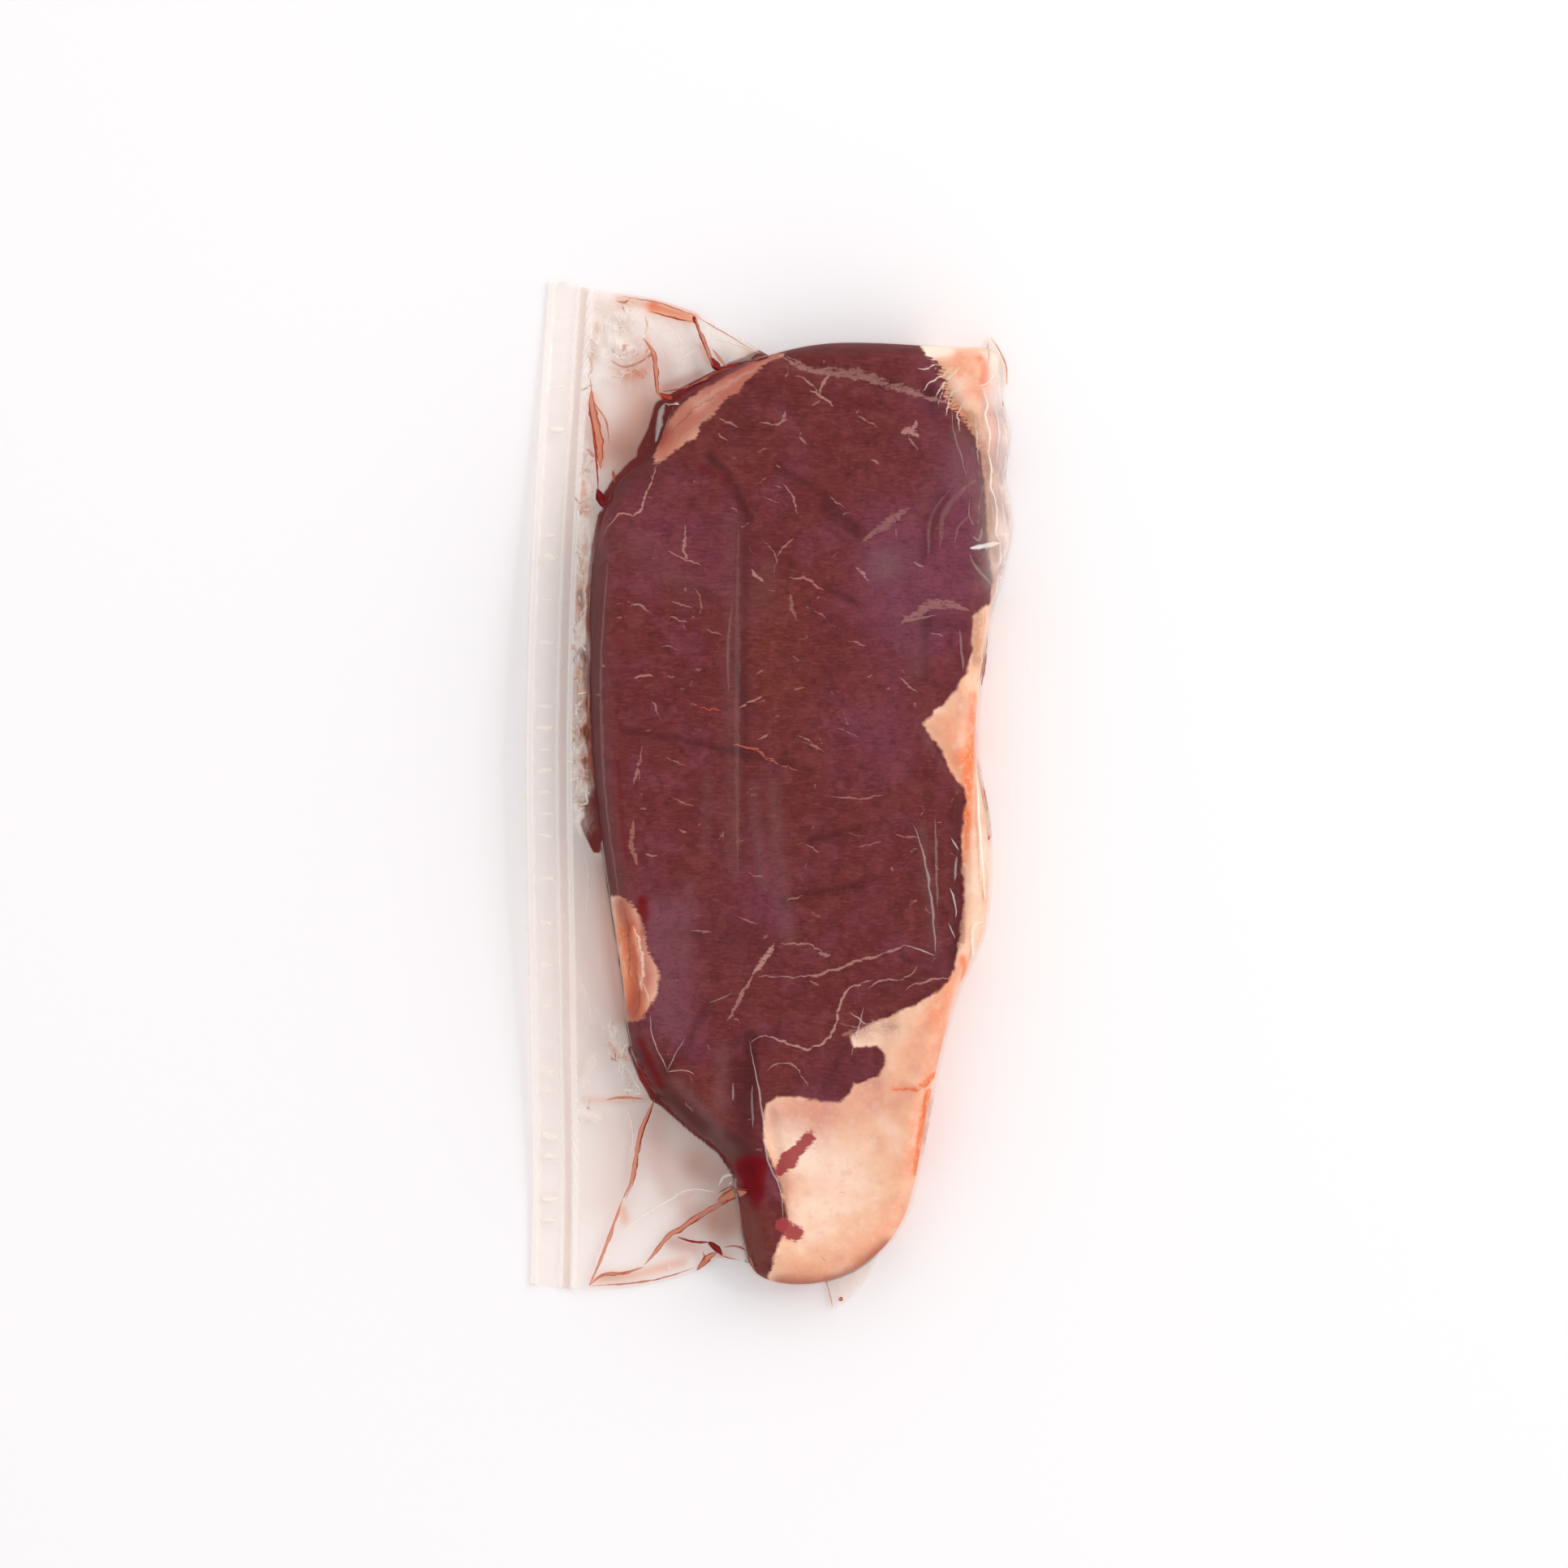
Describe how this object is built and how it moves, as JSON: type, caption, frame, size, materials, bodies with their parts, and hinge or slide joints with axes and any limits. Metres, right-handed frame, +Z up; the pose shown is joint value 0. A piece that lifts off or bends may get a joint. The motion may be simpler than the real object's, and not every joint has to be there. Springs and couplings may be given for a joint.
{
  "type": "vacuum-packed raw sirloin steak",
  "caption": "Raw sirloin steak with a fat cap and marbled lean, sealed flat in a clear vacuum pouch with a welded flange along one side.",
  "frame": {"origin": "under the middle of the whole pack, at the level it rests on", "axes": "+X across the steak, from the pouch's sealed flange to the fat cap; +Y along it, from the tail to the head; +Z up, out of the cut face"},
  "size_m": [0.1202, 0.254, 0.0214],
  "materials": {
    "raw_beef": "moist, satin",
    "clear_film": "clear and glossy"
  },
  "bodies": {
    "root": {"steak": "raw_beef", "pouch": "clear_film"}
  },
  "joints": []
}
